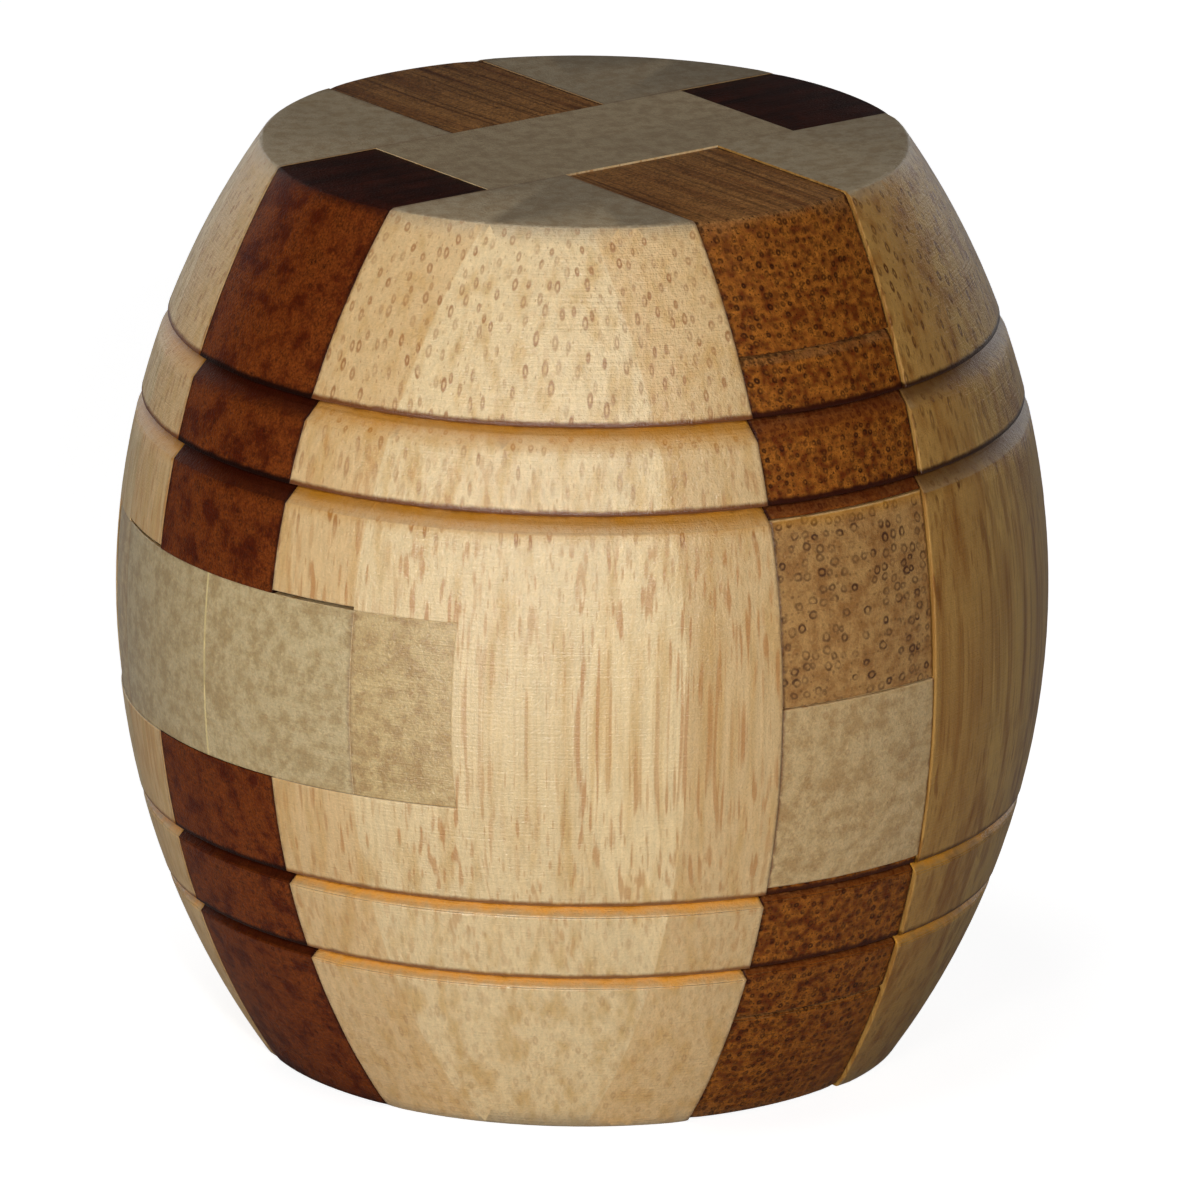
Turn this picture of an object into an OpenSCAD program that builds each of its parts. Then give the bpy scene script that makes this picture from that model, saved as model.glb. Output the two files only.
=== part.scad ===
// Barrel burr puzzle: squared bamboo sticks that interlock in three directions and are
// turned together to a barrel. Six puzzle pieces: the key, the cross bar, two core posts
// and two equal shell halves, each glued up from several sticks and blocks.
//
// Lattice: every joint face lies on a multiple of the half stick, counted from the centre
// of the barrel. X runs along the band bars, Y along the key, Z is the barrel's own axis.
// The barrel stands on the plane Z = 0.

/* [Barrel] */
// Height from end face to end face
barrel_h = 59; // [56:0.5:62]
// Diameter at the belly
barrel_d = 59.4; // [57:0.2:62]
// Diameter of the flat end faces
end_d = 41; // [38:0.5:45]
// Height of the chamfer round each end face
rim = 0.12; // [0.06:0.02:1]

/* [Sticks] */
// Side of the square sticks, two bamboo strips thick
stick = 12; // [11:0.1:12.6]

/* [Grooves] */
// Height of the inner pair of turned grooves above and below the middle
groove_inner_z = 12.7; // [9:0.1:14.5]
// Height of the outer pair of turned grooves above and below the middle
groove_outer_z = 17.95; // [16.5:0.05:24]
// Depth of a groove, square to the barrel's axis
groove_d = 0.75; // [0.4:0.05:1]
// Lean of a groove's steep upper wall away from level, in degrees
groove_lean = 18; // [5:1:40]
// Height of the fine line on the end blocks, above and below the middle
line_z = 21.6; // [20:0.1:25]
// Depth of the fine line
line_d = 0.28; // [0.1:0.02:0.4]

/* [Fit] */
// Running clearance on each of the key's four sides
key_gap = 0.06; // [0.03:0.01:0.15]
// How far the key's ends have shrunk below the staves
key_shrink = 0.25; // [0:0.05:0.5]
// How far the front end blocks have shrunk below the staves
block_shrink = 0.3; // [0:0.05:0.5]
// The most that a shrunk block lies below the end faces
end_drop = 0.13; // [0:0.01:0.3]
// How far the other blocks have shrunk, which fit snugly
snug_shrink = 0.05; // [0:0.01:0.3]
// How far the ends of the band bars and of the cross bar have shrunk
bar_shrink = 0.12; // [0:0.02:0.3]
// Gap left over a band bar where the stave is let in for it
notch_gap = 0.22; // [0:0.02:0.4]

/* [Hidden] */
$fn = 96;

half = stick / 2;              // lattice step
far = 6;                       // a lattice count that lies outside the barrel
top_z = barrel_h / 2;
belly_r = barrel_d / 2;
end_r = end_d / 2;

// The belly is one circular arc through the belly and the two rims.
sagitta = belly_r - end_r;
arc_r = (top_z * top_z + sagitta * sagitta) / (2 * sagitta);
arc_x = belly_r - arc_r;
function surface_r(z) = arc_x + sqrt(arc_r * arc_r - z * z);

STAVE_BAMBOO = "#dcc79b";
POST_BAMBOO = "#cdbb94";
BAR_BAMBOO = "#d6bb86";
KEY_BAMBOO = "#c39c62";
BROWN_BAMBOO = "#8a6238";
DARK_BAMBOO = "#5d4026";

// Cutter for one groove whose bottom lies depth inside the belly: a steep upper wall and
// a lower wall that slopes out at half a right angle.
module groove(z, depth) {
    reach = 3 * depth;
    translate([surface_r(z) - depth, z])
        polygon([[0, 0], [reach, -reach], [reach, reach * tan(groove_lean)]]);
}

// Half outline of the turned barrel, in the plane of its axis. A piece that has shrunk is
// cut by an outline that lies shrink further in. Its grooves lie as deep as the staves'
// and so look shallower. lined adds the fine lines.
module outline(shrink, lined) {
    z = top_z - min(shrink, end_drop);
    difference() {
        intersection() {
            translate([arc_x - shrink, 0]) circle(r = arc_r, $fn = 720);
            translate([0, -z]) square([belly_r, 2 * z]);
        }
        for (side = [-1, 1]) {
            groove(side * groove_inner_z, groove_d);
            groove(side * groove_outer_z, groove_d);
            if (lined) groove(side * line_z, shrink + line_d);
        }
        for (side = [0, 1])
            mirror([0, side]) rim_waste([surface_r(z - rim) - shrink, z - rim], rim);
    }
}

// What the chamfer takes off one rim: the corner outside a line through low, its lower
// end on the belly, that rises by the chamfer's size and comes in by twice as much.
module rim_waste(low, size) {
    run = [2 * size, -size];
    polygon([low - 2 * run, low + run, low + [2 * size, 3 * size]]);
}

// The turned barrel, centred on the origin.
module barrel(shrink, lined) {
    rotate_extrude($fn = 180) outline(shrink, lined);
}

// Box between two lattice corners, given as ranges along X, Y and Z.
module span(x, y, z) {
    translate(half * [x[0], y[0], z[0]])
        cube(half * [x[1] - x[0], y[1] - y[0], z[1] - z[0]]);
}

// Cuts its children to the barrel and stands the result on its end face.
module turned(shrink = 0, lined = false) {
    translate([0, 0, top_z]) intersection() {
        children();
        barrel(shrink, lined);
    }
}

// The two shell halves are one shape, half a turn apart.
module half_turn() {
    rotate([0, 0, 180]) children();
}

// Key: a plain stick right through the barrel along Y, just above the middle.
module key_bar() {
    color(KEY_BAMBOO) turned(key_shrink)
        translate([key_gap - half, -belly_r - 1, key_gap])
            cube([stick - 2 * key_gap, barrel_d + 2, stick - 2 * key_gap]);
}

// Cross bar: the stick under the key, with two notches that the band bars drop into.
module cross_bar() {
    color(BAR_BAMBOO) turned(bar_shrink) difference() {
        span([-1, 1], [-far, far], [-2, 0]);
        for (side = [-1.5, 1.5])
            translate([0, side * half, 0]) span([-2, 2], [-0.5, 0.5], [-1, 1]);
    }
}

// Core post: an upright stick, hollowed on its inner side to clasp the two cross sticks.
module core_post() {
    color(POST_BAMBOO) turned() difference() {
        span([-2, 0], [-1, 1], [-far, far]);
        span([-1, 1], [-2, 2], [-2, 2]);
    }
}

module core_post_left() {
    core_post();
}

module core_post_right() {
    half_turn() core_post();
}

// Band bar: a stick along X. It spans two steps of Y outside the core posts, one step
// beside them, and is thinned to a square tongue where it passes through the cross bar.
module band_bar() {
    color(BAR_BAMBOO) turned(bar_shrink) difference() {
        span([-far, far], [-2, 0], [-1, 1]);
        span([-2, 2], [-1, 1], [-2, 2]);
        span([-1, 1], [-3, 0], [0, 2]);
    }
}

module band_bar_front() {
    band_bar();
}

module band_bar_rear() {
    half_turn() band_bar();
}

// Mirrors its children to the left when side is -1 and leaves them when it is 1.
module to_side(side) {
    mirror([side < 0 ? 1 : 0, 0, 0]) children();
}

// Stave: a corner post over the full height, let in for the band bar and the cheek.
module stave(side) {
    color(STAVE_BAMBOO) to_side(side) turned() difference() {
        span([1, far], [-far, -1], [-far, far]);
        span([-far, far], [-3, 0], [-1, 1]);
        span([-far, far], [-2, 0], [0, 1 + notch_gap / half]);
    }
}

module stave_front_left() {
    stave(-1);
}

module stave_front_right() {
    stave(1);
}

module stave_rear_left() {
    half_turn() stave(1);
}

module stave_rear_right() {
    half_turn() stave(-1);
}

// Cheek: a strip along X beside the band bar's end, set into the stave.
module cheek(side) {
    color(BAR_BAMBOO) to_side(side) turned(bar_shrink)
        span([1, far], [-3, -2], [-1, 1]);
}

module cheek_front_left() {
    cheek(-1);
}

module cheek_front_right() {
    cheek(1);
}

module cheek_rear_left() {
    half_turn() cheek(1);
}

module cheek_rear_right() {
    half_turn() cheek(-1);
}

// Side block: closes the band above (level 1) or below (level -1) the band bars' ends.
module side_block(level) {
    color(DARK_BAMBOO) turned(snug_shrink)
        span([-far, -2], [-1, 1], level > 0 ? [1, far] : [-far, -1]);
}

module side_block_left_top() {
    side_block(1);
}

module side_block_left_bottom() {
    side_block(-1);
}

module side_block_right_top() {
    half_turn() side_block(1);
}

module side_block_right_bottom() {
    half_turn() side_block(-1);
}

// End block: lies above the key's end (level 1) or under the cross bar's end (level -1).
module end_block(level, shrink) {
    color(BROWN_BAMBOO) turned(shrink, lined = true)
        span([-1, 1], [-far, -1], level > 0 ? [2, far] : [-far, -2]);
}

module end_block_front_top() {
    end_block(1, block_shrink);
}

module end_block_front_bottom() {
    end_block(-1, block_shrink);
}

module end_block_rear_top() {
    half_turn() end_block(1, snug_shrink);
}

module end_block_rear_bottom() {
    half_turn() end_block(-1, snug_shrink);
}

key_bar();
cross_bar();
core_post_left();
core_post_right();
band_bar_front();
band_bar_rear();
stave_front_left();
stave_front_right();
stave_rear_left();
stave_rear_right();
cheek_front_left();
cheek_front_right();
cheek_rear_left();
cheek_rear_right();
side_block_left_top();
side_block_left_bottom();
side_block_right_top();
side_block_right_bottom();
end_block_front_top();
end_block_front_bottom();
end_block_rear_top();
end_block_rear_bottom();
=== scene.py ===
import math
import bmesh
import bpy
from mathutils import Matrix, Vector, noise
from mathutils.kdtree import KDTree


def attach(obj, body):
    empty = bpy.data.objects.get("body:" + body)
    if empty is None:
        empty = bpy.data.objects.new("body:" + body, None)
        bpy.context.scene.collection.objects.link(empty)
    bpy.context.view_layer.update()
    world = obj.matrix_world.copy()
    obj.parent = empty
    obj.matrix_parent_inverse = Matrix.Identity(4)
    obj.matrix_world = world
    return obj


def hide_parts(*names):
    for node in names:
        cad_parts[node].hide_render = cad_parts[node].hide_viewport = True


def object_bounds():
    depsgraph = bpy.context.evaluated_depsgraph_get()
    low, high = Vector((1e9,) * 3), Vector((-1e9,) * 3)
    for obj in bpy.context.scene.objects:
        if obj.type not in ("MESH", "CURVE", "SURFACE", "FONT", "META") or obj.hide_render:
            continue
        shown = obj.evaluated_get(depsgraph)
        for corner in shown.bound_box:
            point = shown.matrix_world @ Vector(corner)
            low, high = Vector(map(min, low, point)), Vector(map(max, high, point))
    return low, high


# Looks of a barrel burr puzzle. Each CAD node is replaced by a copy of itself with sanded arrises
# and its own bamboo.

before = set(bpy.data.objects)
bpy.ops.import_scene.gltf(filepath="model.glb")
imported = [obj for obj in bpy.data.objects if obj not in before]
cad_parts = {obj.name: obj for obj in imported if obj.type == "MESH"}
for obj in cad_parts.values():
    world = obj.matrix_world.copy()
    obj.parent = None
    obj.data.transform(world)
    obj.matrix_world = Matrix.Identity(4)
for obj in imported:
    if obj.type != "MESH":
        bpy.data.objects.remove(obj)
cad_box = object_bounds()

MM = 0.001
HALF = 6 * MM  # half a stick, the lattice step of the puzzle
LOW, HIGH = cad_box
CENTRE = (LOW + HIGH) / 2

# Camera, as the object was seen: far away through a long lens
AZIMUTH = math.radians(36.78)
ELEVATION = math.radians(16.73)
ROLL = math.radians(-0.38)
DISTANCE = 200.19 * HALF
FOCAL_PX = 18861.0
PRINCIPAL = (582.0, 586.1)
IMAGE = 1181
SENSOR = 36

# Lamps: degrees to the right of the camera and up, size in metres and power in watts
LAMP_DISTANCE = 0.9
LAMPS = {
    "flash": dict(azimuth=5, elevation=20, size=0.08, watts=2.8),
    "window": dict(azimuth=-26, elevation=4, size=0.16, watts=3.0, colour=(1.0, 0.98, 0.95)),
    "overhead": dict(azimuth=-40, elevation=72, size=0.4, watts=1.6),
    "rear_left": dict(azimuth=-154, elevation=6, size=0.4, watts=0.85),
    "rear_right": dict(azimuth=154, elevation=6, size=0.4, watts=0.85),
}
FILL = 0.03  # light from all round
BACKDROP = 0.95  # how bright the world behind the object looks

# The floor, in metres and shares of white
FLOOR_SIZE = 6
FLOOR_GLOW = 0.85
FLOOR_TONE = 0.55
FLOOR_GRAIN = 0.03
FLOOR_GRAIN_SCALE = 60.0

# From here on, lengths are in mm unless MM stands beside them
STICK = 12.0
HALF_STICK = HALF / MM
MIDDLE_Z = CENTRE.z / MM

# Barrel profile: its radius at the belly, and the radius of the belly's arc from top to bottom
BELLY_R = 29.7
ARC_R = 51.9

# Turned grooves at their heights above the middle: how far the scorch reaches below the lip, how
# dark the lip is, and the look's colour for the scorch, which for the lower grooves is lightened as
# painted light
GROOVES = (
    dict(levels=(12.7, 17.95), reach=2.0, burn=1.0, tone="ochre"),
    dict(levels=(-12.7, -17.95), reach=1.05, burn=0.9, tone="low_scorch_and_painted_light"),
)
LIP = 0.26  # from a groove's bottom up to its lip

# Sanded arrises: their radius for each kind of piece. Glued seams were turned flush, and loose
# ones have worn.
ARRIS = {"stave": 0.16, "core": 0.12, "band": 0.07, "cheek": 0.07, "key": 0.24, "cross": 0.2,
         "end": 0.24, "side": 0.1}
BANDS = (0.1, 0.3, 0.6, 1.0, 1.7)  # the mesh is cut this far from an arris, in radii
SLICE = 1.475 * MM  # and level all the way up, so that its faces stay short
SKIN = 1.3  # arrises further below the barrel's surface are not sanded
ON_ARRIS = 0.03 * MM
MARK_SPACING = 0.05 * MM
WEAR_FREQUENCY = 0.45  # how quickly an arris' radius varies along it
WEAR_MEAN, WEAR_SWING = 0.78, 0.3
WEAR_SEED = 9.7
WALL_REACH = 6  # a joint face sinks with its arris up to this many radii away
LEVEL_FACE = 0.8  # a face whose normal rises more than this is an end face or a groove's wall
FLAT_FACE = 0.9999  # and one whose normal lies this close to an axis is a joint face
SAME_LEVEL = 1e-7  # in metres
WELD = 1e-6  # in metres
SHARP = math.radians(50)  # an edge that bends more is an arris
SMOOTH = math.radians(42)  # an edge that bends less is shaded smooth

# How often each pattern repeats per mm: twice across the grain, then along it
WANDER = (0.11, 0.11, 0.03)
FINE_FIBRE = (4.0, 4.0, 0.15)
HAIR_LINE = (2.6, 2.6, 0.035)
BROAD_BAND = (0.9, 0.9, 0.04)
LATHE_MARK = (0.12, 0.12, 8.0)  # these run round the barrel, so along X, Y and Z
GRIT_SCALE = 6.0
PATCH_SCALE = 0.16
WANDER_DEPTH = 1.6  # how far the grain wanders
SEED_SHIFT = (7.3, 3.1)  # how far a piece's pattern moves for each step of its seed
SEED_LOT = (5.3, 1.7, 1.0)
FINE_SHIFT = (31.7, 17.9, 0.0)  # from the bundles to the finer ones between them
ACROSS_THEN_ALONG = {"X": (1, 2, 0), "Y": (0, 2, 1), "Z": (0, 1, 2)}
COAT_ROUGHNESS = 0.2
NOISE_MEAN = 0.5
PATCH_SWING, STICK_SWING = 1.6, 0.3  # how much the share of bundles varies, by patch and by stick
TONE_EDGE = 0.05  # how softly the tone of the inner sticks ends

# Fibre bundles, in shares of their own radius, rim and spacing
BUNDLE_DISORDER = 0.6
BUNDLE_SIZE = (0.75, 1.25)
BUNDLE_FAINTEST = 0.45
BUNDLE_RAGGED = 0.9
RAGGED_SCALE = 3.2
BROKEN_SCALE = 2.1
CORE_EDGE = (1.25, 0.5)
FINER = dict(spacing=0.62, radius=0.5, share=0.9)

# Values of a field at which a mark is not there yet, and at which it is whole
END_GRAIN = (0.5, 0.9)
STEEP_CUT = (0.12, 0.42)
HAIR_EDGE = (0.54, 0.68)
HAIR_PATCH = (0.4, 0.6)
DEEP_BAND = (0.42, 0.76)
DEEP_MOTTLE = (0.36, 0.66)
BROKEN_RIM = (0.3, 0.6)
SCORCH_PATCH = (0.25, 0.65)
HAIR_PATCH_SCALE = 0.3
SCORCH_PATCH_SCALE = 0.35
SEAM_SCALE = 1.4

# The same for stains, at distances from their middle line or heights on the barrel, and how far
# their edges are ragged
RINGS_LOW_DOWN = (-14.0, 2.0)
# Below the lower grooves' lips the fringe also carries painted light
FRINGE_TOP = (-0.35, 0.02)
FRINGE_END = 0.1
FRINGE_RAGGED = 0.9
LIP_LINE = (0.42, 0.12)
LIP_RAGGED = 0.35
SEAM_LINE = (0.3, 0.05)
SEAM_RAGGED = 0.5
# A pale line along a glued seam, a painted highlight
SEAM_HIGHLIGHT_LINE = (0.16, 0.03)
SEAM_HIGHLIGHT_STRENGTH = 0.6


def srgb(r, g, b):
    """A linear colour from 0-255 screen values."""
    def one(c):
        c /= 255
        return c / 12.92 if c <= 0.04045 else ((c + 0.055) / 1.055) ** 2.4
    return (one(r), one(g), one(b), 1)


class Tree:
    """A material's node tree, grown with one short call per node."""

    def __init__(self, name):
        self.material = bpy.data.materials.new(name)
        self.material.use_nodes = True
        self.tree = self.material.node_tree
        self.shader = self.tree.nodes["Principled BSDF"]

    def put(self, socket, value):
        if isinstance(value, bpy.types.NodeSocket):
            self.tree.links.new(value, socket)
        else:
            socket.default_value = value

    def node(self, kind, **inputs):
        node = self.tree.nodes.new("ShaderNode" + kind)
        for name, value in inputs.items():
            self.put(node.inputs[name], value)
        return node

    def surface(self, **inputs):
        """Sets the shader's sockets, named with _ for a space."""
        for name, value in inputs.items():
            self.put(self.shader.inputs[name.replace("_", " ")], value)

    def math(self, operation, *values, clamp=False):
        node = self.node("Math")
        node.operation = operation
        node.use_clamp = clamp
        for socket, value in zip(node.inputs, values):
            self.put(socket, value)
        return node.outputs[0]

    def chained(self, operation, values):
        result, *rest = values
        for value in rest:
            result = self.math(operation, result, value)
        return result

    def product(self, *values):
        return self.chained("MULTIPLY", values)

    def most(self, *values):
        return self.chained("MAXIMUM", values)

    def size_of(self, value):
        return self.math("ABSOLUTE", value)

    def ramp(self, field, low, high):
        """low where the field is 0, high where it is 1."""
        return self.math("MULTIPLY_ADD", field, high - low, low)

    def sway(self, field, amount, base):
        """base, moved up and down by up to half of amount as the field runs from 0 to 1."""
        return self.math("MULTIPLY_ADD", self.math("SUBTRACT", field, NOISE_MEAN), amount, base)

    def step(self, value, start, end, low=0.0, high=1.0):
        """low before start, high after end, smooth between them."""
        node = self.node("MapRange", Value=value)
        node.interpolation_type = "SMOOTHSTEP"
        for socket, number in zip(list(node.inputs)[1:5], (start, end, low, high)):
            self.put(socket, number)
        return node.outputs["Result"]

    def vector(self, operation, *values):
        node = self.node("VectorMath")
        node.operation = operation
        for socket, value in zip(node.inputs, values):
            self.put(socket, value)
        return node.outputs["Vector"]

    def scaled(self, vector, factor):
        node = self.node("VectorMath")
        node.operation = "SCALE"
        self.put(node.inputs["Vector"], vector)
        self.put(node.inputs["Scale"], factor)
        return node.outputs["Vector"]

    def combine(self, x, y, z=0.0):
        return self.node("CombineXYZ", X=x, Y=y, Z=z).outputs[0]

    def parts(self, vector):
        return list(self.node("SeparateXYZ", Vector=vector).outputs)

    def channels(self, colour):
        return list(self.node("SeparateColor", Color=colour).outputs)

    def stretched(self, parts, scales):
        return self.combine(*(self.product(part, scale) for part, scale in zip(parts, scales)))

    def noise(self, vector, scale=1.0, detail=2.0, rough=0.5, output=0):
        node = self.node("TexNoise", Vector=vector, Scale=scale, Detail=detail, Roughness=rough)
        return node.outputs[output]

    def mix(self, factor, a, b, blend="MIX"):
        node = self.node("Mix")
        node.data_type = "RGBA"
        node.blend_type = blend
        self.put(node.inputs[0], factor)
        self.put(node.inputs[6], a)
        self.put(node.inputs[7], b)
        return node.outputs[2]

    def bump(self, height, distance):
        return self.node("Bump", Height=height, Distance=distance, Strength=1.0).outputs[0]


class Bamboo(Tree):
    """Lacquered bamboo. Its fields are lengths, or shares that run from 0 to 1."""

    def __init__(self, name, grain, look, seed):
        super().__init__(name)
        self.look = look
        self.find_place(grain, seed)
        self.find_stick(seed)
        self.find_fibres()
        self.find_bundles()
        colour = self.bare_wood()
        colour = self.add_streaks(colour)
        colour = self.add_rings(colour)
        colour = self.add_scorch(colour)
        colour = self.add_seams(colour)
        self.lacquer(colour)

    def find_place(self, grain, seed):
        """Where a point lies in the wood, and how squarely the surface cuts the grain there."""
        source = self.node("TexCoord").outputs
        self.solid = self.scaled(source["Object"], 1 / MM)
        self.place = self.parts(self.solid)
        self.height = self.math("SUBTRACT", self.place[2], MIDDLE_Z)
        *sides, along = ACROSS_THEN_ALONG[grain]
        self.sides = [self.place[axis] for axis in sides]
        self.along = self.place[along]
        self.across = self.combine(*(self.math("ADD", side, seed * shift)
                                     for side, shift in zip(self.sides, SEED_SHIFT)))
        self.squareness = self.size_of(self.parts(source["Normal"])[along])
        self.end_grain = self.step(self.squareness, *END_GRAIN)
        self.long_grain = self.math("SUBTRACT", 1.0, self.end_grain)
        self.steep = self.step(self.squareness, *STEEP_CUT)
        # The grain wanders a little
        drift = self.stretched((*self.parts(self.across)[:2], self.along), WANDER)
        drift = self.noise(drift, detail=1.0, output="Color")
        drift = self.vector("SUBTRACT", drift, (NOISE_MEAN, NOISE_MEAN, NOISE_MEAN))
        self.bent = self.vector("ADD", self.across, self.scaled(drift, WANDER_DEPTH))

    def find_stick(self, seed):
        """Sticks glued up in one piece: each has its own tone and its own share of bundles."""
        cell = self.vector("FLOOR", self.scaled(self.combine(*self.sides), 1 / STICK))
        lot = self.vector("ADD", cell, tuple(seed * step for step in SEED_LOT))
        self.tone, plenty, _ = self.channels(self.node("TexWhiteNoise", Vector=lot).outputs["Color"])
        # Staves are darker where they lie within a stick of the barrel's middle planes
        inmost = self.math("MINIMUM", self.size_of(self.place[0]), self.size_of(self.place[1]))
        inner = self.step(inmost, STICK + TONE_EDGE, STICK - TONE_EDGE)
        self.inner = self.product(inner, self.long_grain)
        share = self.sway(self.noise(self.across, PATCH_SCALE), PATCH_SWING, self.look["share"])
        share = self.sway(plenty, STICK_SWING, share)
        self.share = self.math("MULTIPLY_ADD", self.inner, self.look["inner"], share)

    def find_fibres(self):
        """Fine fibres, hair lines and broad bands, drawn out along the grain; mottling and grit."""
        parts = (*self.parts(self.bent)[:2], self.along)
        self.fibre = self.noise(self.stretched(parts, FINE_FIBRE), detail=3.0, rough=0.65)
        hair = self.step(self.noise(self.stretched(parts, HAIR_LINE), detail=1.0), *HAIR_EDGE)
        plenty = self.step(self.noise(self.across, HAIR_PATCH_SCALE, 1.0), *HAIR_PATCH, 0.2)
        self.hair = self.product(hair, plenty)
        self.band = self.noise(self.stretched(parts, BROAD_BAND), rough=0.55)
        self.mottle = self.noise(self.solid, self.look["mottle"], 4.0, 0.65)
        self.grit = self.noise(self.solid, GRIT_SCALE, rough=0.7)

    def find_bundles(self):
        """Fibre bundles, and finer ones between them."""
        spacing, radius, width = (self.look[key] for key in ("spacing", "radius", "width"))
        self.ring, self.core = self.bundles(self.bent, self.share, spacing, radius, width)
        between = self.vector("ADD", self.bent, FINE_SHIFT)
        share = self.product(self.share, FINER["share"])
        _, self.dot = self.bundles(between, share, FINER["spacing"] * spacing,
                                   FINER["radius"] * radius, width)

    def bundles(self, across, share, spacing, radius, width):
        """Cross sections of bundles that run with the grain: (their broken rims, their cores)."""
        cells = self.node("TexVoronoi", Vector=across, Scale=1 / spacing,
                          Randomness=BUNDLE_DISORDER)
        cells.voronoi_dimensions = "2D"
        luck = self.channels(cells.outputs["Color"])
        size = self.ramp(luck[0], *(radius * share_of for share_of in BUNDLE_SIZE))
        shown = self.step(self.math("SUBTRACT", share, luck[1]), -0.05, 0.05)
        depth = self.product(shown, self.ramp(luck[2], BUNDLE_FAINTEST, 1.0))
        reach = self.product(cells.outputs["Distance"], spacing)
        reach = self.sway(self.noise(across, RAGGED_SCALE, 1.0), BUNDLE_RAGGED * radius, reach)
        rim = self.size_of(self.math("SUBTRACT", reach, size))
        broken = self.step(self.noise(across, BROKEN_SCALE), *BROKEN_RIM)
        ring = self.product(self.step(rim, width, 0.2 * width), self.ramp(broken, 0.4, 1.0))
        core = self.step(reach, *(self.product(size, edge) for edge in CORE_EDGE))
        return self.product(ring, depth), self.product(core, depth)

    def bare_wood(self):
        look = self.look
        colour = self.mix(self.step(self.band, *DEEP_BAND), look["light"], look["deep"])
        end = self.mix(self.step(self.mottle, *DEEP_MOTTLE), look["end_light"], look["end_deep"])
        colour = self.mix(self.end_grain, colour, end)
        colour = self.mix(self.product(self.inner, look["inner"]), colour, look["inner_colour"])
        shade = self.sway(self.tone, look["strip_tone"], 1.0)
        for field in ("fibre", "grit", "mottle"):
            shade = self.sway(getattr(self, field), look[field + "_tone"], shade)
        return self.mix(1.0, colour, self.combine(shade, shade, shade), "MULTIPLY")

    def add_streaks(self, colour):
        """Bundles run on as streaks where the surface follows the grain."""
        core = self.product(self.core, self.math("MULTIPLY_ADD", self.fibre, 1.4, 0.15, clamp=True))
        streak = self.most(core, self.product(self.dot, 0.7),
                           self.product(self.hair, self.look["hair"]))
        streak = self.product(streak, self.ramp(self.steep, 1.0, 0.25), self.long_grain,
                              self.look["streak"])
        return self.mix(streak, colour, self.look["streak_colour"])

    def add_rings(self, colour):
        """Bundles end as rings where the surface cuts the grain, less so low on a stave."""
        marks = self.most(self.ring, self.product(self.dot, self.look["dots"]))
        shown = self.product(self.steep, self.ramp(self.end_grain, 1.0, self.look["end_ring"]))
        low = self.step(self.height, *RINGS_LOW_DOWN, self.look["low_ring"], 1.0)
        return self.mix(self.product(marks, shown, low, self.look["ring"]), colour,
                        self.look["ring_colour"])

    def add_scorch(self, colour):
        """The lathe tool scorched the turned grooves; below the lower grooves' lips the scorch colour
        is lightened, as painted light.
        """
        uneven = self.step(self.noise(self.solid, SCORCH_PATCH_SCALE), *SCORCH_PATCH, 0.8)
        for grooves in GROOVES:
            fringe, line = self.groove_stain(grooves)
            scorch = self.product(fringe, uneven, self.look["scorch"])
            colour = self.mix(scorch, colour, self.look[grooves["tone"]])
            colour = self.mix(self.product(line, self.look["burn"]), colour, self.look["burnt"])
        return colour

    def groove_stain(self, grooves):
        """Ragged stains of some grooves: (a fringe below each lip, a dark line along it)."""
        fringes, lines = [], []
        for level in grooves["levels"]:
            below = self.math("SUBTRACT", level + LIP, self.height)
            fringe = self.sway(self.mottle, FRINGE_RAGGED, below)
            fringe = self.step(fringe, grooves["reach"], FRINGE_END)
            fringes.append(self.product(self.step(below, *FRINGE_TOP), fringe))
            away = self.size_of(self.sway(self.mottle, LIP_RAGGED, below))
            lines.append(self.step(away, *LIP_LINE, 0.0, grooves["burn"]))
        return self.most(*fringes), self.most(*lines)

    def add_seams(self, colour):
        """Ragged dirt where a piece meets its neighbours, and a pale line along a glued seam inside
        it, a painted highlight.
        """
        if self.look["seams"]:
            ragged = self.noise(self.solid, SEAM_SCALE, 3.0, 0.7)
            lines = []
            for axis, place in self.look["seams"]:
                away = self.math("SUBTRACT", self.size_of(self.place["XYZ".index(axis)]), place)
                away = self.sway(ragged, SEAM_RAGGED, self.size_of(away))
                lines.append(self.step(away, *SEAM_LINE))
            dirt = self.product(self.most(*lines), self.look["seam"])
            colour = self.mix(dirt, colour, self.look["burnt"])
        # A pale line along a glued seam: a painted highlight.
        if self.look["glue"]:
            away = self.size_of(self.place["XYZ".index(self.look["glue"])])
            line = self.product(self.step(away, *SEAM_HIGHLIGHT_LINE), SEAM_HIGHLIGHT_STRENGTH)
            colour = self.mix(line, colour, self.look["seam_highlight_colour"])
        return colour

    def lacquer(self, colour):
        """Gloss over lathe marks, and over fibres and grit that stand a little proud."""
        look = self.look
        marks = self.noise(self.stretched(self.place, LATHE_MARK), rough=0.6)
        relief = self.math("MULTIPLY_ADD", marks, 0.7, self.product(self.fibre, 0.5))
        relief = self.math("ADD", self.grit, relief)
        normal = self.bump(relief, look["relief"] * MM)
        self.surface(Base_Color=colour, Normal=normal, Coat_Normal=normal,
                     Roughness=self.ramp(self.grit, look["rough"] - 0.12, look["rough"] + 0.13),
                     Specular_IOR_Level=look["specular"], Coat_Weight=look["coat"],
                     Coat_Roughness=COAT_ROUGHNESS)
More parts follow.
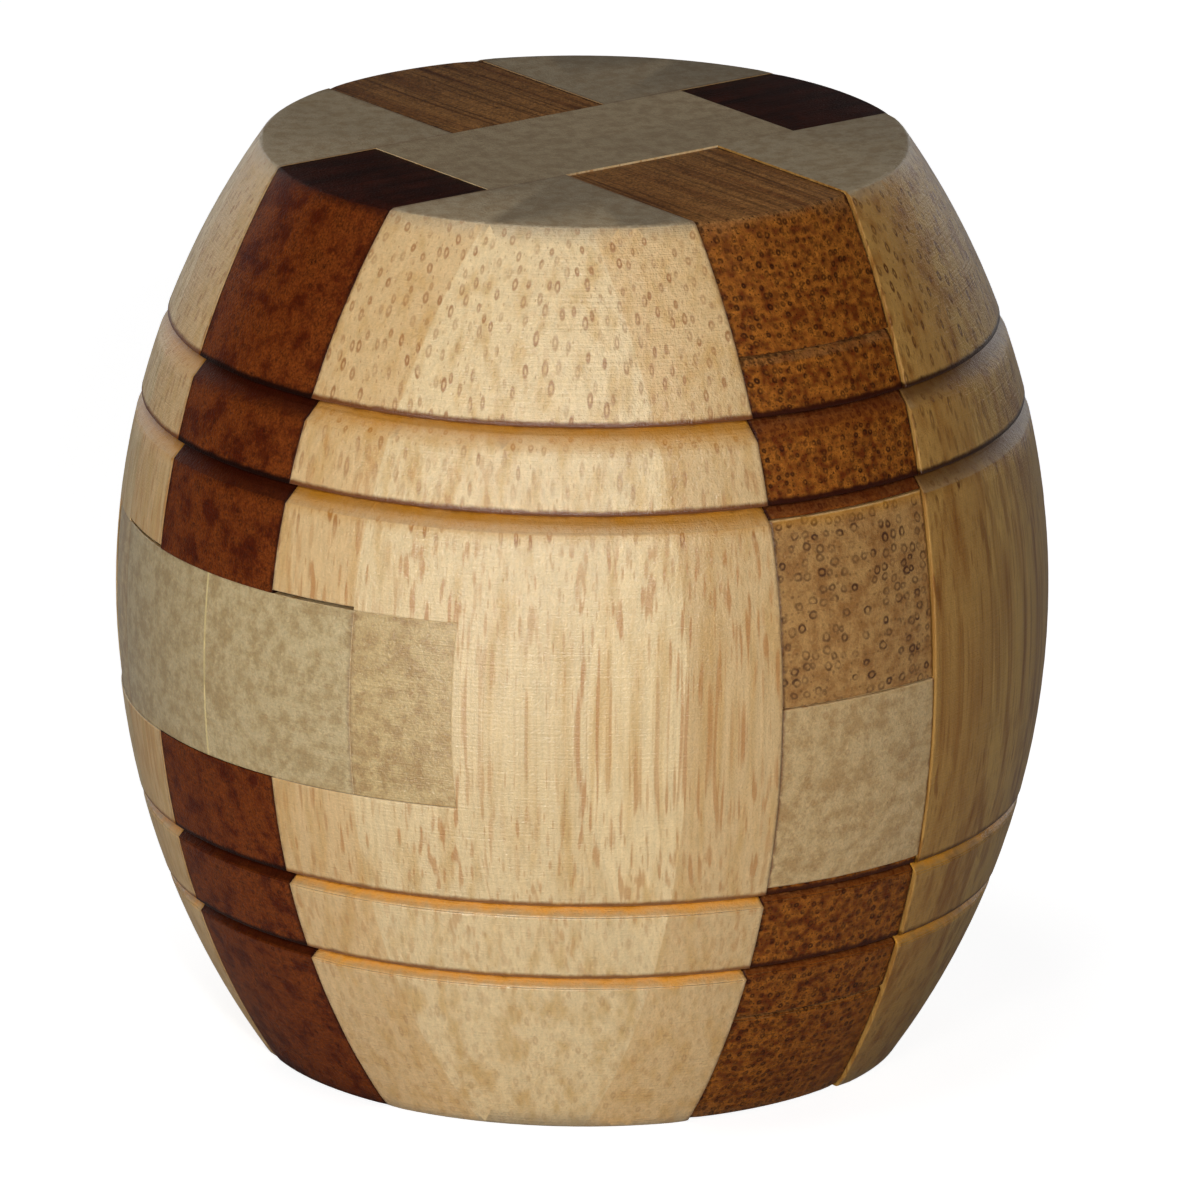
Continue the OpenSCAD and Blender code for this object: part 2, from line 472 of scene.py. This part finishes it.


# What a look says: colours on long and on end grain, colours of the marks, the bundles' spacing,
# radius, rim width and share, how much each field shades the colour, how strongly each mark shows,
# seams as (axis, distance from the middle), the axis that a glued seam's pale line (a painted
# highlight) crosses, relief and gloss
PALE = dict(
    light=srgb(236, 208, 158), deep=srgb(216, 178, 118),
    end_light=srgb(184, 166, 136), end_deep=srgb(164, 142, 110),
    streak_colour=srgb(182, 112, 38), ring_colour=srgb(156, 96, 40),
    # The scorch colour of the lower grooves is lightened: painted light below their lips.
    ochre=srgb(202, 134, 14), low_scorch_and_painted_light=srgb(255, 174, 44), burnt=srgb(106, 50, 4),
    spacing=0.76, radius=0.105, width=0.095, share=0.98, inner=0.0, inner_colour=srgb(190, 140, 74),
    strip_tone=0.10, fibre_tone=0.42, grit_tone=0.34, mottle_tone=0.16, mottle=0.9,
    streak=0.66, hair=0.95, ring=0.85, end_ring=1.0, low_ring=1.0, dots=0.5, scorch=1.0, burn=0.95,
    seams=(), seam=0.7, glue="", seam_highlight_colour=srgb(236, 216, 150),
    relief=0.055, rough=0.46, specular=0.4, coat=0.7,
)
CORNER = (("X", HALF_STICK), ("Y", HALF_STICK))
STAVE = dict(PALE, end_ring=0.2, low_ring=0.35, inner=0.4, seams=CORNER, seam=0.35)
LOOKS = {
    "stave": STAVE,
    "core": dict(PALE, end_light=srgb(194, 172, 136), end_deep=srgb(170, 146, 112), ring=0.12),
    "band": dict(PALE, end_light=srgb(208, 186, 140), end_deep=srgb(174, 148, 102), ring=0.2,
                 spacing=0.5, radius=0.1, mottle_tone=0.36, grit_tone=0.6, glue="Y",
                 seams=(("Y", STICK),), seam=0.3),
    "cheek": dict(PALE, end_light=srgb(210, 182, 128), end_deep=srgb(172, 140, 90), ring=0.25,
                  spacing=0.5, radius=0.1, mottle_tone=0.4, grit_tone=0.6,
                  seams=(("Y", STICK),), seam=0.3),
    "key": dict(PALE, end_light=srgb(190, 144, 84), end_deep=srgb(154, 106, 54), ring=0.95,
                ring_colour=srgb(68, 30, 10), spacing=0.8, radius=0.19, width=0.13, share=0.8,
                mottle_tone=0.28, seams=CORNER[:1], grit_tone=0.7, coat=0.3),
    "cross": dict(PALE, end_light=srgb(216, 184, 132), end_deep=srgb(184, 148, 96), ring=0.3,
                  spacing=0.7, radius=0.16, width=0.1, share=0.5, mottle_tone=0.28,
                  seams=CORNER[:1], grit_tone=0.6),
    "end": dict(PALE, light=srgb(156, 108, 60), deep=srgb(112, 66, 34),
                end_light=srgb(172, 102, 34), end_deep=srgb(92, 40, 8),
                streak_colour=srgb(58, 24, 10), ring_colour=srgb(34, 10, 3), ochre=srgb(96, 34, 4),
                low_scorch_and_painted_light=srgb(120, 52, 8), burnt=srgb(48, 14, 4),
                spacing=0.56, radius=0.11, width=0.12, share=0.9, ring=0.9, dots=0.9, scorch=0.8,
                grit_tone=2.2, mottle_tone=1.4, mottle=1.5, seams=CORNER[:1], seam=0.95,
                specular=0.12, coat=0.08),
    "side": dict(PALE, light=srgb(56, 22, 12), deep=srgb(32, 9, 4),
                 end_light=srgb(130, 62, 20), end_deep=srgb(68, 22, 4),
                 streak_colour=srgb(24, 6, 3), ring_colour=srgb(34, 10, 4), ochre=srgb(54, 14, 3),
                 low_scorch_and_painted_light=srgb(64, 20, 4), burnt=srgb(24, 6, 2),
                 spacing=0.6, radius=0.11, width=0.1, share=0.5, ring=0.5,
                 grit_tone=2.0, mottle_tone=2.2, mottle=0.6, seams=CORNER[1:], seam=0.6,
                 specular=0.08, coat=0.05),
}
# Pieces whose wood differs from their kind's, and the rear left stave's darker copy of the stave
# wood, painted shade on the barrel's left flank
WOOD_VARIANTS_AND_PAINTED_SHADE = {
    "stave_front_right": dict(STAVE, light=srgb(198, 156, 86), deep=srgb(150, 100, 42),
                              inner_colour=srgb(156, 104, 44), streak_colour=srgb(130, 76, 22),
                              ring_colour=srgb(92, 48, 14), ochre=srgb(116, 70, 14),
                              burnt=srgb(52, 22, 4), share=1.05, ring=1.0, seams=(),
                              coat=0.15, specular=0.25),
    # A darker, greyer copy of the stave wood: painted shade on the left flank
    "stave_rear_left": dict(STAVE, light=srgb(222, 196, 150), deep=srgb(204, 172, 118), coat=0.15,
                            specular=0.25),
}
GRAIN = {"stave": "Z", "core": "Z", "band": "X", "cheek": "X", "key": "Y", "cross": "Y",
         "end": "Y", "side": "X"}


def depth_below_barrel(place):
    """How far a point lies below the barrel's nominal surface, in mm."""
    height = place.z / MM - MIDDLE_Z
    return BELLY_R - ARC_R + math.sqrt(ARC_R ** 2 - height ** 2) - math.hypot(place.x, place.y) / MM


def flat_axis(face):
    """0, 1 or 2 where the face looks straight along that axis, else None."""
    for axis in range(3):
        if abs(face.normal[axis]) > FLAT_FACE:
            return axis
    return None


def bends_more(edge, angle):
    return len(edge.link_faces) == 2 and edge.calc_face_angle(0) > angle


def find_arrises(mesh):
    """Sharp outer edges of a piece: points along them, and the levels they run at on each axis."""
    points, levels = [], (set(), set(), set())
    for edge in mesh.edges:
        if not edge.is_convex or not bends_more(edge, SHARP):
            continue
        start, end = [v.co.copy() for v in edge.verts]
        if max(depth_below_barrel(start), depth_below_barrel(end)) > SKIN:
            continue
        for axis in range(3):
            if abs(start[axis] - end[axis]) < SAME_LEVEL:
                levels[axis].add(round(start[axis], 7))
        count = max(1, math.ceil((start - end).length / MARK_SPACING))
        points += [start.lerp(end, i / count) for i in range(count + 1)]
    return points, levels


def slice_mesh(mesh, axis, level):
    normal = [0, 0, 0]
    normal[axis] = 1
    place = [0, 0, 0]
    place[axis] = level
    whole = mesh.verts[:] + mesh.edges[:] + mesh.faces[:]
    bmesh.ops.bisect_plane(mesh, geom=whole, plane_co=place, plane_no=normal,
                           dist=SAME_LEVEL)


def cut_bands(mesh, levels, size):
    """Cuts narrow bands along the arrises, and level slices all the way up."""
    for axis in range(3):
        for level in sorted(levels[axis]):
            for band in BANDS:
                slice_mesh(mesh, axis, level - band * size)
                slice_mesh(mesh, axis, level + band * size)
    for step in range(1, int(HIGH.z / SLICE)):
        slice_mesh(mesh, 2, step * SLICE)


def search_tree(points):
    tree = KDTree(len(points))
    for number, point in enumerate(points):
        tree.insert(point, number)
    tree.balance()
    return tree


def way_in(vert):
    """The way a vertex may sink without leaving its joint faces, and whether it is on a wall."""
    inward = Vector((-vert.co.x, -vert.co.y, 0)).normalized()
    wall = False
    for face in vert.link_faces:
        axis = flat_axis(face)
        if axis in (0, 1):
            inward[axis] = 0
        if axis is not None or abs(face.normal.z) > LEVEL_FACE:
            wall = True
    return inward.normalized(), wall


def sunk(reach, radius, wall):
    """How far a vertex sinks: reach is its distance from the nearest arris."""
    if not wall:
        gap = max(0, radius - reach)
        return radius - math.sqrt(radius ** 2 - gap ** 2)
    if reach < ON_ARRIS:
        return radius
    return radius * max(0, 1 - reach / (WALL_REACH * radius))


def round_arrises(mesh, size, seed):
    """Sands the outer edges: bands are cut along them, then sunk along a quarter round."""
    points, levels = find_arrises(mesh)
    arrises = search_tree(points)
    cut_bands(mesh, levels, size)
    moves, crest = [], set()
    for vert in mesh.verts:
        if depth_below_barrel(vert.co) > SKIN:
            continue
        reach = arrises.find(vert.co)[2]
        wear = noise.noise(vert.co / MM * WEAR_FREQUENCY + Vector((seed, 0, 0)))
        inward, wall = way_in(vert)
        moves.append((vert, inward * sunk(reach, size * (WEAR_MEAN + WEAR_SWING * wear), wall)))
        if reach < ON_ARRIS:
            crest.add(vert)
    for vert, shift in moves:
        vert.co += shift
    for edge in mesh.edges:
        edge.smooth = not (bends_more(edge, SMOOTH) or all(v in crest for v in edge.verts))


def make_piece(name, node, number):
    """The wooden piece of a CAD node, with its outer arrises sanded."""
    mesh = bmesh.new()
    mesh.from_mesh(node.data)
    bmesh.ops.remove_doubles(mesh, verts=mesh.verts, dist=WELD)
    mesh.normal_update()
    kind = name.split("_")[0]
    round_arrises(mesh, ARRIS[kind] * MM, number * WEAR_SEED)
    for face in mesh.faces:
        face.smooth = True
        face.material_index = 0
    data = bpy.data.meshes.new("wood_" + name)
    mesh.to_mesh(data)
    mesh.free()
    piece = bpy.data.objects.new("wood_" + name, data)
    bpy.context.scene.collection.objects.link(piece)
    look = WOOD_VARIANTS_AND_PAINTED_SHADE.get(name, LOOKS[kind])
    data.materials.append(Bamboo(name, GRAIN[kind], look, number + 1.0).material)
    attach(piece, "key" if kind == "key" else "barrel")
    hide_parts(name)


def dress_pieces():
    for number, (name, node) in enumerate(sorted(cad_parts.items())):
        make_piece(name, node, number)


def toward(azimuth, elevation):
    """Unit vector from the object: azimuth in degrees to the right of the camera, elevation up."""
    turn = math.radians(azimuth) - AZIMUTH
    rise = math.radians(elevation)
    return Vector((math.sin(turn) * math.cos(rise), -math.cos(turn) * math.cos(rise), math.sin(rise)))


def make_camera():
    right = Vector((math.cos(AZIMUTH), -math.sin(AZIMUTH), 0))
    back = toward(0, math.degrees(ELEVATION))
    turn = Matrix((right, back.cross(right), back)).transposed().to_4x4()
    data = bpy.data.cameras.new("camera")
    data.sensor_width = SENSOR
    data.lens = SENSOR * FOCAL_PX / IMAGE
    data.shift_x = (IMAGE / 2 - PRINCIPAL[0]) / IMAGE
    data.shift_y = (PRINCIPAL[1] - IMAGE / 2) / IMAGE
    data.clip_start = 0.1
    data.clip_end = 10
    camera = bpy.data.objects.new("camera", data)
    bpy.context.scene.collection.objects.link(camera)
    place = Matrix.Translation(CENTRE + back * DISTANCE)
    camera.matrix_world = place @ turn @ Matrix.Rotation(-ROLL, 4, "Z")
    bpy.context.scene.camera = camera


def make_lamp(name, azimuth, elevation, size, watts, colour=(1, 1, 1)):
    data = bpy.data.lights.new(name, "AREA")
    data.shape = "DISK"
    data.size = size
    data.energy = watts
    data.color = colour
    lamp = bpy.data.objects.new(name, data)
    bpy.context.scene.collection.objects.link(lamp)
    aim = toward(azimuth, elevation)
    lamp.location = CENTRE + aim * LAMP_DISTANCE
    lamp.rotation_mode = "QUATERNION"
    lamp.rotation_quaternion = aim.to_track_quat("Z", "Y")


def make_world():
    """A white backdrop that gives only a little light."""
    world = bpy.data.worlds.new("studio")
    bpy.context.scene.world = world
    world.use_nodes = True
    tree = world.node_tree
    back = tree.nodes["Background"]
    back.inputs["Color"].default_value = (1, 1, 1, 1)
    path = tree.nodes.new("ShaderNodeLightPath")
    level = tree.nodes.new("ShaderNodeMapRange")
    level.inputs["To Min"].default_value = FILL
    level.inputs["To Max"].default_value = BACKDROP
    tree.links.new(path.outputs["Is Camera Ray"], level.inputs["Value"])
    tree.links.new(level.outputs["Result"], back.inputs["Strength"])


def light_scene():
    for name, lamp in LAMPS.items():
        make_lamp(name, **lamp)
    make_world()


def make_floor():
    bpy.ops.mesh.primitive_plane_add(size=FLOOR_SIZE, location=(0, 0, 0))
    floor = bpy.context.object
    floor.name = "floor"
    t = Tree("floor_paper")
    grain = t.noise(t.scaled(t.node("TexCoord").outputs["Object"], FLOOR_GRAIN_SCALE), detail=3.0)
    tone = t.math("MULTIPLY_ADD", grain, FLOOR_GRAIN, FLOOR_TONE)
    glow = t.product(t.node("LightPath").outputs["Is Camera Ray"], FLOOR_GLOW)
    t.surface(Base_Color=t.combine(tone, tone, tone), Roughness=0.9,
              Emission_Color=(1, 1, 1, 1), Emission_Strength=glow)
    floor.data.materials.append(t.material)


bpy.context.scene.view_settings.view_transform = "Standard"
make_camera()
light_scene()
make_floor()
dress_pieces()
